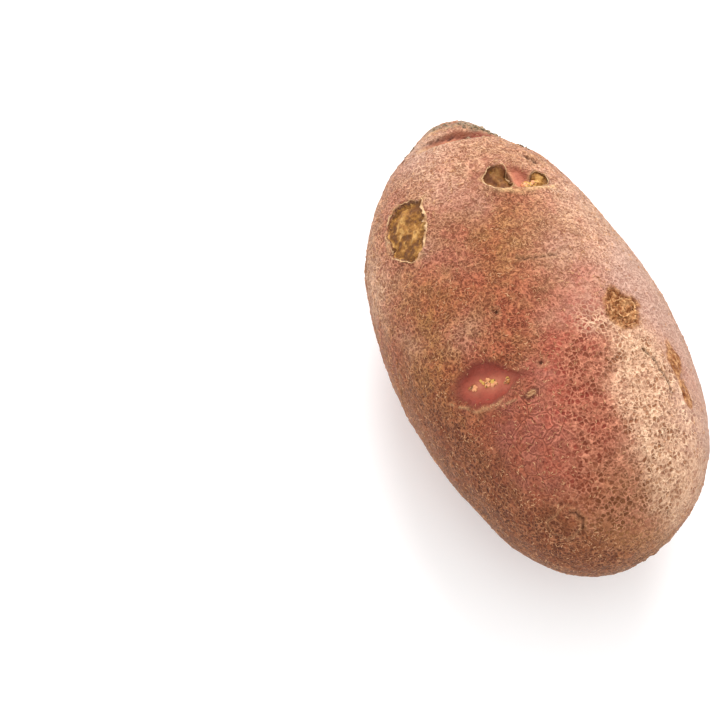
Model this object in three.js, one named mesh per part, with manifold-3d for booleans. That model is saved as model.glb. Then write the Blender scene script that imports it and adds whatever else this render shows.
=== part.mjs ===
// A long oval, pink-skinned potato tuber lying on its flattest side. It grew as one piece, so it is one solid.
// Millimetres, +Z up. +Y runs from the heel end, where the tuber hung on its runner, to the crown end, where
// the youngest eyes crowd together. The origin lies on the resting surface, under the middle of the tuber.
import * as THREE from "three";
import { mergeVertices } from "three/addons/utils/BufferGeometryUtils.js";
import Module from "manifold-3d";

// Driving dimensions of the plain egg form, before swells, eyes and the resting spot.
const length = 105;
const width = 59.6;
const heightAbove = 27; // from the long axis up to the top of the plain form
const depthBelow = 26; // from the long axis down to its lowest point
const crownTaper = 0.13; // share by which the width narrows from the middle to the crown
const restingCut = 0.8; // how far up from the lowest point the flat resting spot lies
const meshDetail = 20; // edge divisions of the icosahedron that carries the skin

// A place on the skin is given by along, in millimetres from the middle towards the crown, and around, in
// degrees about the long axis: 0 on top, 90 on the +X side, 180 underneath.

// Broad swells and flats that make the outline uneven. reach is how far each one spreads.
const swells = [
  { along: -38, around: 65, height: 2.5, reach: 22 },
  { along: -46, around: -12, height: 2.0, reach: 22 },
  { along: -30, around: -77, height: -3.3, reach: 22 },
  { along: 10, around: 75, height: -0.7, reach: 14 },
  { along: 30, around: 76, height: -1.3, reach: 22 },
  { along: 28, around: -104, height: 2.5, reach: 20 },
  { along: 44, around: -148, height: -3.0, reach: 18 },
  { along: 44, around: 62, height: -2.2, reach: 7 },
  { along: 48, around: -60, height: -1.2, reach: 6 },
  { along: -50, around: 90, height: -0.8, reach: 12 },
  { along: -24, around: 162, height: 0.8, reach: 18 },
  { along: 22, around: 147, height: -1.0, reach: 16 },
];

// Eyes: a hollow with a raised brow along its heel side. across and deep are the hollow's half sizes round
// and along the tuber, depth is how far it sinks and brow how far its lip stands up. turn rotates the eye in
// the skin, in degrees. They follow each other up the tuber in a loose spiral, closer together at the crown.
const eyes = [
  { along: 42, around: 0, turn: -10, across: 7.5, deep: 2.2, depth: 1.7, brow: 0.7 },
  { along: 26.5, around: 19, turn: -18, across: 7, deep: 2.4, depth: 1.5, brow: 0.7 },
  { along: 33, around: -125, turn: 12, across: 5.5, deep: 2.2, depth: 1.2, brow: 0.6 },
  { along: 36, around: 150, turn: -6, across: 6, deep: 2.2, depth: 1.3, brow: 0.6 },
  { along: 14, around: 112, turn: -12, across: 6, deep: 2.6, depth: 1.3, brow: 0.6 },
  { along: 12, around: -130, turn: 10, across: 6.5, deep: 2.6, depth: 1.2, brow: 0.5 },
  { along: -8.5, around: 36, turn: -10, across: 4.2, deep: 4, depth: 0.7, brow: 0.2 },
  { along: -13.5, around: -35, turn: -14, across: 6, deep: 3.4, depth: 1.3, brow: 0.6 },
  { along: -24, around: 57, turn: -60, across: 5.5, deep: 2.4, depth: 0.6, brow: 0.1 },
  { along: -20, around: 132, turn: -8, across: 6, deep: 2.8, depth: 1.1, brow: 0.5 },
  { along: -27, around: -140, turn: 8, across: 6.5, deep: 2.8, depth: 1.1, brow: 0.5 },
  { along: -43, around: 168, turn: 0, across: 4.5, deep: 2.4, depth: 0.9, brow: 0.4 },
];

// The scar where the runner broke away: a round dimple at the heel end, inside a low collar.
const runnerScar = { along: -51, around: 120, radius: 3, depth: 1.1, collar: 0.4 };

const halfLength = length / 2;
const halfWidth = width / 2;

// The direction on the unit sphere that carries a place on the skin.
function skinDirection(along, around) {
  const share = along / halfLength;
  const angle = THREE.MathUtils.degToRad(around);
  const across = halfWidth * (1 - crownTaper * share);
  const depth = (Math.cos(angle) > 0 ? heightAbove : depthBelow) * (1 - 0.5 * crownTaper * share);
  const direction = new THREE.Vector3(Math.sin(angle) / across, 0, Math.cos(angle) / depth);
  return direction.setLength(Math.sqrt(1 - share * share)).setY(share);
}

// The plain egg form: an ellipsoid, flatter below than above, narrowing towards the crown.
function plainPoint(direction) {
  const { x, y, z } = direction;
  const depth = z > 0 ? heightAbove : depthBelow;
  return new THREE.Vector3(
    halfWidth * x * (1 - crownTaper * y),
    halfLength * y,
    depth * z * (1 - 0.5 * crownTaper * y),
  );
}

function outward(direction) {
  const { x, y, z } = direction;
  const depth = z > 0 ? heightAbove : depthBelow;
  return new THREE.Vector3(x / halfWidth, y / halfLength, z / depth).normalize();
}

function bell(distance, reach) {
  return Math.exp(-((distance / reach) ** 2));
}

// An eye's own frame on the plain form: its centre, and unit vectors round and along the tuber.
function eyeFrame(eye) {
  const direction = skinDirection(eye.along, eye.around);
  const normal = outward(direction);
  const towardsCrown = new THREE.Vector3(0, 1, 0).projectOnPlane(normal).normalize();
  const round = new THREE.Vector3().crossVectors(towardsCrown, normal);
  const turn = THREE.MathUtils.degToRad(eye.turn);
  return {
    centre: plainPoint(direction),
    round: round.clone().applyAxisAngle(normal, turn),
    crownward: towardsCrown.clone().applyAxisAngle(normal, turn),
  };
}

const swellCentres = swells.map((swell) => plainPoint(skinDirection(swell.along, swell.around)));
const eyeFrames = eyes.map(eyeFrame);
const scarCentre = plainPoint(skinDirection(runnerScar.along, runnerScar.around));

function swellHeight(point) {
  return swells.reduce(
    (sum, swell, i) => sum + swell.height * bell(point.distanceTo(swellCentres[i]), swell.reach),
    0,
  );
}

function eyeHeight(point) {
  let height = 0;
  eyes.forEach((eye, i) => {
    const { centre, round, crownward } = eyeFrames[i];
    const offset = point.clone().sub(centre);
    if (offset.length() > 3 * eye.across) return;
    const sideways = offset.dot(round);
    const lengthways = offset.dot(crownward);
    const hollow = bell(sideways, eye.across) * bell(lengthways, eye.deep);
    const brow = bell(sideways, 1.1 * eye.across) * bell(lengthways + 1.5 * eye.deep, 0.7 * eye.deep);
    height += eye.brow * brow - eye.depth * hollow;
  });
  return height;
}

function scarHeight(point) {
  const { radius, depth, collar } = runnerScar;
  const distance = point.distanceTo(scarCentre);
  return collar * bell(distance - 1.6 * radius, 0.6 * radius) - depth * bell(distance, radius);
}

function skinPoint(direction) {
  const plain = plainPoint(direction);
  const height = swellHeight(plain) + eyeHeight(plain) + scarHeight(plain);
  return plain.addScaledVector(outward(direction), height);
}

function tuberGeometry() {
  const geometry = new THREE.IcosahedronGeometry(1, meshDetail);
  geometry.deleteAttribute("normal");
  geometry.deleteAttribute("uv");
  const skin = mergeVertices(geometry, 1e-5);
  const position = skin.getAttribute("position");
  const direction = new THREE.Vector3();
  for (let i = 0; i < position.count; i++) {
    direction.fromBufferAttribute(position, i).normalize();
    const point = skinPoint(direction);
    position.setXYZ(i, point.x, point.y, point.z);
  }
  return skin;
}

const wasm = await Module();
wasm.setup();

function solidOf(geometry) {
  return new wasm.Manifold(
    new wasm.Mesh({
      numProp: 3,
      vertProperties: new Float32Array(geometry.getAttribute("position").array),
      triVerts: new Uint32Array(geometry.index.array),
    }),
  );
}

function geometryOf(solid) {
  const mesh = solid.getMesh();
  const geometry = new THREE.BufferGeometry();
  geometry.setAttribute("position", new THREE.BufferAttribute(mesh.vertProperties, 3));
  geometry.setIndex(new THREE.BufferAttribute(mesh.triVerts, 1));
  geometry.computeVertexNormals();
  return geometry;
}

// The spot that the tuber's own weight rests on is a true flat, cut just above its lowest point.
function withRestingSpot(geometry) {
  geometry.computeBoundingBox();
  const restLevel = geometry.boundingBox.min.z + restingCut;
  const below = new THREE.BoxGeometry(2 * width, 2 * length, width);
  below.deleteAttribute("normal");
  below.deleteAttribute("uv");
  below.translate(0, 0, restLevel - width / 2);
  return geometryOf(solidOf(geometry).subtract(solidOf(mergeVertices(below))));
}

// Moves the origin to the resting surface under the middle of the bounding box.
function onItsOrigin(geometry) {
  geometry.computeBoundingBox();
  const { min, max } = geometry.boundingBox;
  return geometry.translate(-(min.x + max.x) / 2, -(min.y + max.y) / 2, -min.z);
}

const skinMaterial = new THREE.MeshStandardMaterial({ color: 0xb07a62, roughness: 0.75, metalness: 0 });

const potato = new THREE.Mesh(onItsOrigin(withRestingSpot(tuberGeometry())), skinMaterial);
potato.name = "potato";

const tuber = new THREE.Group();
tuber.add(potato);

export default tuber;
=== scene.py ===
import math

import bmesh
import bpy
import numpy as np
from mathutils import Matrix, Vector
from mathutils.bvhtree import BVHTree


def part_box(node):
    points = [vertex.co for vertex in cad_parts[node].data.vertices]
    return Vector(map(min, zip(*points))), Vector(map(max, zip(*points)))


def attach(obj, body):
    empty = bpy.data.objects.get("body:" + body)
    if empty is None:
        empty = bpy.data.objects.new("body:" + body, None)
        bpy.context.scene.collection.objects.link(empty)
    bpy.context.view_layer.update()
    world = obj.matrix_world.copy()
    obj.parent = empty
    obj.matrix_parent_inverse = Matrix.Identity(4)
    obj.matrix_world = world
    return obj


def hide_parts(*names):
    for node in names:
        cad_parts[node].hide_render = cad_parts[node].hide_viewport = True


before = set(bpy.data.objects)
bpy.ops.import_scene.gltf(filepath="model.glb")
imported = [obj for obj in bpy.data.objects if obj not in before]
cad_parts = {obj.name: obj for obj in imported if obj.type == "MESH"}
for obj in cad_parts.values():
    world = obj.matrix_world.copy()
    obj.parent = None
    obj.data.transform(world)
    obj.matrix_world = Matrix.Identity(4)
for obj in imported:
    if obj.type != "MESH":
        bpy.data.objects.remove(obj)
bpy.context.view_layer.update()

print("frame loaded")

# The tuber is shaped in millimetres and turned into metres as its meshes are made.
# A place on it is along, in millimetres from the middle towards the crown, and around, in degrees about the
# long axis: 0 on top, 90 on the +X side, 180 underneath.
lowCorner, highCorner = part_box("potato")
middle = (lowCorner + highCorner) * 500
halfSize = (highCorner - lowCorner) * 500


# Small tools.

def ease(value, low, high):
    share = np.clip((value - low) / (high - low), 0, 1)
    return share * share * (3 - 2 * share)


def bell(value, reach):
    return np.exp(-(value / reach) ** 2)


def latticeValue(cell, seed):
    mixed = cell @ np.array([374761393, 668265263, 2147483647]) + seed * 1274126177
    mixed = mixed & 0xFFFFFFFF
    mixed = ((mixed ^ (mixed >> 15)) * 2246822519) & 0xFFFFFFFF
    mixed = ((mixed ^ (mixed >> 13)) * 3266489917) & 0xFFFFFFFF
    return (mixed ^ (mixed >> 16)) / 2 ** 31 - 1


# Gives each row of a table the names of its columns.
def named(columns, rows):
    return {name: dict(zip(columns.split(), row)) for name, row in rows.items()}


# Soft lumps of about the given size in millimetres, from -1 to 1.
def lumps(points, size, seed, octaves=3):
    total = np.zeros(len(points))
    strength, norm = 1.0, 0.0
    for octave in range(octaves):
        spot = points / size * 2 ** octave + 17.3 * seed
        cell = np.floor(spot).astype(np.int64)
        part = spot - cell
        part = part * part * (3 - 2 * part)
        value = 0
        for corner in np.ndindex(2, 2, 2):
            weight = np.prod(np.where(corner, part, 1 - part), axis=1)
            value = value + weight * latticeValue(cell + np.array(corner), seed + octave)
        total += strength * value
        norm += strength
        strength *= 0.55
    return total / norm * 1.6


def meshObject(name, points, faces, material=None):
    mesh = bpy.data.meshes.new(name)
    mesh.from_pydata((np.asarray(points) / 1000).tolist(), [], [list(map(int, face)) for face in faces])
    mesh.validate()
    mesh.polygons.foreach_set("use_smooth", [True] * len(mesh.polygons))
    piece = bpy.data.objects.new(name, mesh)
    bpy.context.scene.collection.objects.link(piece)
    if material:
        mesh.materials.append(material)
    return piece


def pointsOf(mesh):
    flat = np.empty(3 * len(mesh.vertices), np.float32)
    mesh.vertices.foreach_get("co", flat)
    return flat.reshape(-1, 3).astype(float) * 1000


def normalsOf(mesh):
    flat = np.empty(3 * len(mesh.vertices), np.float32)
    mesh.vertex_normals.foreach_get("vector", flat)
    return flat.reshape(-1, 3).astype(float)


# Turns what an object's modifiers make into its plain mesh.
def settle(piece):
    evaluated = piece.evaluated_get(bpy.context.evaluated_depsgraph_get())
    plain = bpy.data.meshes.new_from_object(evaluated)
    piece.modifiers.clear()
    old = piece.data
    piece.data = plain
    plain.name = piece.name
    bpy.data.meshes.remove(old)
    return piece


# One node with its inputs filled: a socket is linked, anything else is set as the input's value.
def put(tree, kind, feeds=None, **settings):
    made = tree.nodes.new(kind)
    for name, value in settings.items():
        setattr(made, name, value)
    for key, value in (feeds or {}).items():
        if isinstance(value, bpy.types.NodeSocket):
            tree.links.new(value, made.inputs[key])
        else:
            made.inputs[key].default_value = value
    return made


def calc(tree, operation, *values):
    feeds = dict(enumerate(values))
    return put(tree, "ShaderNodeMath", feeds, operation=operation).outputs[0]


def times(tree, *values):
    product = values[0]
    for value in values[1:]:
        product = calc(tree, "MULTIPLY", product, value)
    return product


def most(tree, *values):
    highest = values[0]
    for value in values[1:]:
        highest = calc(tree, "MAXIMUM", highest, value)
    return highest


def rest(tree, value):
    return calc(tree, "SUBTRACT", 1.0, value)


def vectorCalc(tree, operation, first, second):
    return put(tree, "ShaderNodeVectorMath", {0: first, 1: second}, operation=operation).outputs[0]


def between(tree, value, low, high, fromLow=0.0, toHigh=1.0):
    feeds = {"Value": value, "From Min": low, "From Max": high, "To Min": fromLow, "To Max": toHigh}
    return put(tree, "ShaderNodeMapRange", feeds, interpolation_type="SMOOTHSTEP").outputs[0]


def over(tree, amount, under, top, how="MIX"):
    feeds = {0: amount, 6: under, 7: top}
    return put(tree, "ShaderNodeMix", feeds, data_type="RGBA", blend_type=how).outputs[2]


def noiseOf(tree, where, scale, detail=2.0, roughness=0.5, distortion=0.0):
    feeds = {"Vector": where, "Scale": scale, "Detail": detail, "Roughness": roughness,
             "Distortion": distortion}
    return put(tree, "ShaderNodeTexNoise", feeds)


def cellsOf(tree, where, scale, feature="F1", randomness=1.0):
    feeds = {"Vector": where, "Scale": scale, "Randomness": randomness}
    return put(tree, "ShaderNodeTexVoronoi", feeds, feature=feature)


# A colour as the eye sees it, 0 to 255, turned into the linear one that the shaders use.
def tint(red, green, blue):
    shares = [channel / 255 for channel in (red, green, blue)]
    return (*[((share + 0.055) / 1.055) ** 2.4 if share > 0.04 else share / 12.92 for share in shares], 1.0)


# A new material with its node tree, and the place on the object that its patterns read.
def newCoat(name):
    material = bpy.data.materials.new(name)
    material.use_nodes = True
    tree = material.node_tree
    tree.nodes.clear()
    return material, tree, put(tree, "ShaderNodeTexCoord").outputs["Object"]


# bump is its strength and its depth in metres; a rough pair is a base and what the tone adds to it.
def finishCoat(tree, colour, roughness, height, bump, gloss):
    feeds = {"Strength": bump[0], "Distance": bump[1], "Height": height}
    relief = put(tree, "ShaderNodeBump", feeds).outputs[0]
    feeds = {"Base Color": colour, "Roughness": roughness, "Normal": relief, "Specular IOR Level": gloss}
    shader = put(tree, "ShaderNodeBsdfPrincipled", feeds)
    put(tree, "ShaderNodeOutputMaterial", {"Surface": shader.outputs[0]})


def unevenly(tree, base, tone, more):
    return calc(tree, "ADD", base, calc(tree, "MULTIPLY", tone, more))


# A coat of two tones in one fine noise.
def twoToneCoat(name, look):
    material, tree, where = newCoat(name)
    tone = noiseOf(tree, where, look["scale"], look["detail"], look["grit"]).outputs["Fac"]
    colour = over(tree, between(tree, tone, *look["mix"]), tint(*look["dull"]), tint(*look["bright"]))
    finishCoat(tree, colour, unevenly(tree, look["rough"][0], tone, look["rough"][1]), tone,
               look["bump"], look["gloss"])
    return material


# The smooth tuber that everything is laid on.

skinGrid = {
    "spacing": 0.60,  # millimetres between the skin's points, halved where there is detail
    "tuberSmoothing": 2,  # subdivision levels that round off the solid's facets
    "patchMargin": 1.6,  # how far the finer grid goes past a patch, and how deep it looks for one
    "patchDepth": 6,
    "pitMargin": 2.2,  # in radii of the pit
    "crackMargin": 0.9,
    "fullPores": 0.72,  # share of the pore zone above which the grid is fine
}


def smoothTuber():
    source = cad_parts["potato"]
    mesh = source.data.copy()
    shape = bmesh.new()
    shape.from_mesh(mesh)
    bmesh.ops.remove_doubles(shape, verts=shape.verts, dist=1e-6)
    shape.to_mesh(mesh)
    shape.free()
    tuber = bpy.data.objects.new("smoothTuber", mesh)
    bpy.context.scene.collection.objects.link(tuber)
    rounding = tuber.modifiers.new("rounding", "SUBSURF")
    rounding.levels = rounding.render_levels = skinGrid["tuberSmoothing"]
    settle(tuber)
    points = pointsOf(tuber.data)
    faces = [tuple(face.vertices) for face in tuber.data.polygons]
    bpy.data.objects.remove(tuber)
    return BVHTree.FromPolygons(points.tolist(), faces)


tuberSurface = smoothTuber()


# A place on the tuber with its own directions: round the tuber, towards the crown, and outward.
def placeOn(along, around, turn=0.0, surface=None):
    angle = math.radians(around)
    start = Vector((middle.x, middle.y + along, middle.z))
    direction = Vector((math.sin(angle), 0, math.cos(angle)))
    centre, normal = (surface or tuberSurface).ray_cast(start, direction)[:2]
    crownward = Vector((0, 1, 0))
    crownward = (crownward - normal * crownward.dot(normal)).normalized()
    spin = Matrix.Rotation(math.radians(turn), 3, normal)
    return {
        "centre": np.array(centre),
        "outward": np.array(normal),
        "crownward": np.array(spin @ crownward),
        "round": np.array(spin @ crownward.cross(normal)),
    }


# What grows on the skin.

# Eyes. wide and tall are half sizes, lip is the height of the brow on the heel side, floor the depth of the
# niche above it, blush how pink its bare floor is and taper how much its right end narrows. glow is how
# bright the floor is round the buds, and the share of the eye's height that this spreads over.
eyes = named("at wide tall lip floor blush taper glow", {
    "crownEye": ((43, 0, -10), 8.5, 2.6, 0.7, 0.8, 0.75, 0.3, (0.9, 0.5)),
    "upperEye": ((27.6, 18, -18), 8.4, 3.8, 0.4, 0.8, 0.75, 0.3, (1.0, 0.9)),
    "pinkEye": ((-12.2, -36.2, -14), 8.8, 4.7, 0.4, 0.8, 1.0, 0.6, (1.0, 0.28)),
    "backEyeA": ((34, -124, 12), 5.5, 2.6, 0.5, 0.6, 0.5, 0.2, (0.5, 0.3)),
    "backEyeB": ((37, 150, -6), 6.0, 2.6, 0.5, 0.6, 0.4, 0.2, (0.4, 0.3)),
    "sideEye": ((15.3, 112, -12), 6.2, 3.0, 0.5, 0.6, 0.8, 0.4, (0.8, 0.3)),
    "backEyeC": ((13.3, -130, 10), 6.8, 3.0, 0.5, 0.6, 0.6, 0.3, (0.6, 0.3)),
    "backEyeD": ((-18.7, 132, -8), 6.2, 3.2, 0.5, 0.6, 0.9, 0.4, (0.9, 0.3)),
    "backEyeE": ((-25.7, -140, 8), 6.8, 3.2, 0.5, 0.6, 0.4, 0.3, (0.4, 0.3)),
    "heelEye": ((-41.7, 168, 0), 4.6, 2.6, 0.35, 0.4, 0.3, 0.2, (0.3, 0.3)),
})

# Crusted scabs set in torn skin: half sizes, how deep they sit, the seed of their outline, how much they
# narrow towards the heel and how far they lean. Then softer corky patches that fade into the skin.
scabs = named("at wide tall sunk seed taper slant", {
    "ochreScab": ((26.2, -48.2, 10), 5.2, 7.1, 0.55, 3, 0.16, -0.14),
    "upperEyeScab": ((28.1, 8.6, -14), 3.2, 3.9, 0.9, 8),
    "upperEyeCup": ((26.8, 33.6, -20), 1.8, 1.9, 0.7, 15),
    "backScab": ((2, 148, 30), 4.2, 5.6, 0.5, 12),
})
corks = named("at wide tall rings relief strength", {
    "corkyEye": ((-6.9, 36.4, 0), 5.4, 5.8, 1.2, 0.7, 1.0),
    "edgeCorkA": ((-18.9, 54.5, 12), 2.7, 5.4, 0.8, 0.2, 1.0),
    "edgeCorkB": ((-26.4, 56, 8), 2.0, 3.8, 0.8, 0.2, 1.0),
    "backCorkA": ((28, -92, 20), 4.2, 3.0, 1.0, 0.35, 0.9),
    "backCorkB": ((-30, 100, -20), 3.2, 4.4, 1.0, 0.3, 0.8),
    "backCorkC": ((-12, -150, 40), 3.0, 4.6, 0.9, 0.3, 0.8),
})

# Small round pits: radius and depth in millimetres.
pits = named("at radius depth", {
    "midPit": ((0, -19.7), 0.55, 0.7),
    "flushPit": ((-13.2, -10.4), 0.5, 0.5),
    "crownPitA": ((33.4, 38), 1.0, 0.9),
    "crownPitB": ((32.1, 42), 1.1, 1.0),
    "crownPitC": ((44.5, -57), 0.8, 0.6),
    "backPitA": ((5, -110), 0.7, 0.6),
    "backPitB": ((-34, 148), 0.7, 0.6),
    "backPitC": ((26, 128), 0.6, 0.6),
})

# Cracks run through a few places; width and depth in millimetres.
cracks = named("width depth through", {
    "sideArc": (0.2, 0.55, [
        (-15.2, 34.5), (-16.6, 37.6), (-18.9, 41.2), (-21.4, 43.8), (-23.8, 45.4), (-27, 46)]),
    "upperCrack": (0.2, 0.35, [
        (9.6, -3.5), (8.8, -0.5), (8.0, 5.6), (7.4, 11.4), (7.4, 17.4)]),
    "plateCrack": (0.24, 0.4, [
        (-41.0, -31), (-41.7, -27.2), (-43.5, -25.4), (-45.4, -30)]),
    "crownFold": (0.3, 0.35, [
        (44.5, -48), (45.2, -30), (45.0, -14), (44.4, -2), (43.4, 8), (42.8, 18)]),
    "backCrackA": (0.2, 0.35, [
        (4, -75), (-2, -84), (-6, -96), (-5, -106)]),
    "backCrackB": (0.2, 0.35, [
        (22, 96), (18, 88), (9, 84), (1, 88)]),
})

# Pale lips that stand up along an eye, through places in the eye's own sideways and lengthways millimetres.
ridges = named("at width height pale gaps through", {
    "upperLip": ((27.4, 17.2, -18), 0.46, 0.2, 1.0, -0.8, [
        (-5.6, -3.7), (-2.7, -4.4), (1.3, -4.5), (4.6, -3.0), (7.2, -1.1), (10, 1.3)]),
    "pinkLip": ((-12.3, -37.3, -14), 0.28, 0.25, 0.5, -0.2, [
        (-9.6, -1.4), (-8.2, -2.4), (-4.7, -3.9), (2.1, -4.6), (5.7, -4.1), (8.2, -3.6)]),
    "crownLip": ((43.1, -2.5, -10), 0.75, 0.42, 1.0, -0.8, [
        (-9, -0.5), (-4.3, 0.1), (2.1, -0.3), (7.9, -3.6)]),
    "knobEdge": ((43.1, -2.5, -10), 0.5, 0.35, 0.4, -0.8, [
        (-8, 3.4), (-3, 4.8), (2, 4.6), (7, 2.6)]),
})

heelPlate = {"at": (-42.7, -36.5, 10), "wide": 4.0, "tall": 2.9, "height": 0.3}
drySeam = {"at": (-18.0, -19.8, 6), "wide": 1.25, "tall": 0.6, "height": 0.35}
runnerScar = {"at": (-49.7, 120), "radius": 3.0, "depth": 0.5}


farOut = 6  # millimetres off the skin at which a ray down onto it starts


# Distance over an oval in its own frame: 0 at its centre, 1 on its edge.
def ovalShare(sideways, lengthways, wide, tall):
    return np.sqrt((sideways / wide) ** 2 + (lengthways / tall) ** 2)


patches = [*eyes.values(), *scabs.values(), *corks.values(), heelPlate, drySeam]
for spec in [*patches, *pits.values(), runnerScar]:
    spec["place"] = placeOn(*spec["at"])
for spec in cracks.values():
    spec["path"] = np.array([placeOn(*at)["centre"] for at in spec["through"]])
for spec in ridges.values():
    place = placeOn(*spec["at"])
    start = place["centre"] + farOut * place["outward"]
    above = [start + u * place["round"] + v * place["crownward"] for u, v in spec["through"]]
    inward = -Vector(place["outward"])
    spec["path"] = np.array([tuberSurface.ray_cast(Vector(spot), inward)[0] for spot in above])


# Zones of colour and texture: each is a few soft spots with along, around, reach in millimetres and strength.
zones = {
    "poreZone": [
        (-26, 26, 11, 1.0), (-36, 34, 11, 1.0), (-16, 22, 8, 0.9), (-30, 6, 9, 0.8), (-12, 30, 6, 0.8),
        (-38, 14, 9, 0.8), (-45, 30, 8, 0.8), (-14, 8, 7, 0.6), (-24, 48, 6, 0.7), (-40, -8, 10, 0.5),
        (-22, 2, 6, 0.5), (-8, 20, 5, 0.5), (-32, 110, 15, 0.9), (6, 130, 12, 0.8), (22, -150, 14, 0.8),
        (-8, -112, 13, 0.8)],
    "crackle": [
        (16, 6, 11, 1.0), (24, -14, 9, 0.8), (8, 20, 9, 0.8), (2, 2, 9, 0.6), (10, -34, 9, 0.5),
        (34, 10, 8, 0.6), (-24, -30, 10, 0.4), (20, 130, 14, 0.8), (0, -100, 14, 0.8), (-10, 175, 16, 0.7)],
    "pinkFlush": [
        (-10, 8, 6, 0.8), (-16, -1, 6, 0.9), (-18, -8, 5, 0.6), (-25, -10, 6, 0.5), (-30, -20, 6, 0.85),
        (-37, -18, 6, 0.65), (-22, 8, 6, 0.8), (-31, 6, 6, 0.5), (-22, -62, 5, 0.3), (-4, 12, 7, 0.45),
        (4, -15, 7, 0.15), (16, -34, 8, 0.1), (21, 14, 5, 0.2), (-2, 26, 6, 0.5), (26, -24, 6, 0.1),
        (-8, 128, 12, 0.7), (26, -150, 12, 0.6), (-32, -150, 10, 0.6), (40, 122, 8, 0.5),
        (12, -118, 9, 0.5)],
    "mauveNet": [
        (-20, -38, 4, 0.7), (-21.5, -27, 5, 1.0), (-27, -15, 4, 0.7), (-28, -32, 5, 0.9),
        (-25, -45, 5, 0.6), (-31, -43, 4, 0.5), (-35, -33, 5, 0.9), (-16, -13, 4, 0.8), (0, -165, 8, 0.8),
        (-22, 95, 7, 0.8)],
    # gold-brown tone; its spots at the heel and on the lower-left side are also painted shade
    "goldToneAndShade": [
        (14, 4, 8, 0.5), (22, -2, 7, 0.35), (7, -4, 6, 0.3), (8, -46, 8, 0.5), (-3, -60, 8, 0.6),
        (-46, -20, 9, 0.5), (-50, 0, 8, 0.6), (-38, 6, 6, 0.3), (-50, 41, 9, 0.5), (-46, 20, 8, 0.9),
        (-36, -90, 14, 0.7), (-12, -95, 15, 0.5), (-50, 150, 14, 0.8), (0, 180, 20, 0.5),
        (30, 170, 12, 0.5)],
    # deep brown pigment; these spots on the lower-left side, heel and underside are also painted shade
    "deepBrownAndShade": [
        (-17, -76, 9, 1.0), (-30, -76, 10, 1.0), (-46, -60, 11, 0.9), (-6, -14, 8, 0.3),
        (-50, -100, 14, 1.0), (-5, -82, 9, 0.6), (-32, -110, 14, 0.8), (-48, 175, 14, 0.7),
        (-10, 165, 12, 0.5)],
    "paleTan": [
        (-27, 38, 10, 1.0), (-37, 42, 11, 1.0), (-45, 56, 8, 0.9), (-14, 36, 8, 0.8), (4, 44, 13, 0.5),
        (-6, 16, 6, 0.9), (18, 44, 11, 0.3), (44, -24, 7, 0.4), (36, -7, 9, 0.28), (31, -32, 9, 0.3),
        (33, 22, 7, 0.15), (20, 62, 7, 0.2), (28, 40, 7, 0.25), (42, 34, 8, 0.3), (20, -80, 9, 0.6),
        (12, 96, 13, 0.8), (40, 170, 10, 0.6), (-30, 90, 12, 0.6), (36, -100, 11, 0.7), (-20, 140, 10, 0.5)],
    "palePink": [
        (-10, 60, 8, 1.0), (-23, 66, 8, 1.0), (-34, 66, 8, 0.8), (-32, 50, 6, 0.35), (-2, 18, 5, 0.35),
        (-2, 44, 7, 0.7), (4, 60, 9, 0.8), (22, 52, 8, 0.3), (-5.6, 14.8, 5, 0.6), (47, -50, 8, 0.6),
        (42, -34, 7, 0.4), (-16.3, -10, 3, 0.8), (22, -44, 4, 0.4), (17, -36, 6, 0.15), (12, -26, 5, 0.1),
        (31, -22, 6, 0.3), (9, 22, 5, 0.4), (-1, -36, 4, 0.3), (24, -8, 4, 0.35), (5, -64, 5, 0.3),
        (12, 90, 11, 0.6), (-28, 84, 10, 0.6)],
    "greyCork": [(47, 24, 4, 1.0), (49, 4, 4, 0.6), (44, 40, 4, 0.7), (50, -30, 4, 0.5), (46, 60, 4, 0.5)],
}


def zoneField(name, points, drift):
    field = np.zeros(len(points))
    for along, around, reach, strength in zones[name]:
        distance = np.linalg.norm(points + drift - placeOn(along, around)["centre"], axis=1)
        field += strength * bell(distance, reach)
    return np.clip(field, 0, 1)


# The skin's mesh.

def boxGrid(divisions):
    shape = tuple(n + 1 for n in divisions)
    outside = np.zeros(shape, bool)
    outside[[0, -1]] = True
    outside[:, [0, -1]] = True
    outside[:, :, [0, -1]] = True
    number = np.full(shape, -1)
    number[outside] = np.arange(outside.sum())
    points = np.argwhere(outside) / np.array(divisions) * 2 - 1
    faces = []
    for axis in range(3):
        for end in (0, -1):
            layer = np.take(number, end, axis=axis)
            quads = [layer[:-1, :-1], layer[1:, :-1], layer[1:, 1:], layer[:-1, 1:]]
            if (end == 0) != (axis == 1):
                quads.reverse()
            faces.append(np.stack(quads, -1).reshape(-1, 4))
    return points, np.concatenate(faces)


def onTuber(directions):
    start = Vector(middle)
    return np.array([tuberSurface.ray_cast(start, Vector(d))[0] for d in directions])


def nearDetail(points):
    wanted = np.zeros(len(points), bool)
    for spec in patches:
        place = spec["place"]
        offset = points - place["centre"]
        wide, tall = spec["wide"] + skinGrid["patchMargin"], spec["tall"] + skinGrid["patchMargin"]
        share = ovalShare(offset @ place["round"], offset @ place["crownward"], wide, tall)
        wanted |= (share < 1) & (np.abs(offset @ place["outward"]) < skinGrid["patchDepth"])
    for spec in pits.values():
        distance = np.linalg.norm(points - spec["place"]["centre"], axis=1)
        wanted |= distance < skinGrid["pitMargin"] * spec["radius"]
    for spec in [*cracks.values(), *ridges.values()]:
        wanted |= distanceToPath(points, spec["path"])[0] < skinGrid["crackMargin"]
    return wanted | (zoneField("poreZone", points, 0) > skinGrid["fullPores"])


# Distance of each point to a path, and how far along the path the nearest spot is, from 0 to 1.
def distanceToPath(points, path):
    best = np.full(len(points), 1e9)
    share = np.zeros(len(points))
    for i in range(len(path) - 1):
        leg = path[i + 1] - path[i]
        part = np.clip((points - path[i]) @ leg / (leg @ leg), 0, 1)
        distance = np.linalg.norm(points - path[i] - part[:, None] * leg, axis=1)
        closer = distance < best
        best[closer] = distance[closer]
        share[closer] = (i + part[closer]) / (len(path) - 1)
    return best, share


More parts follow.
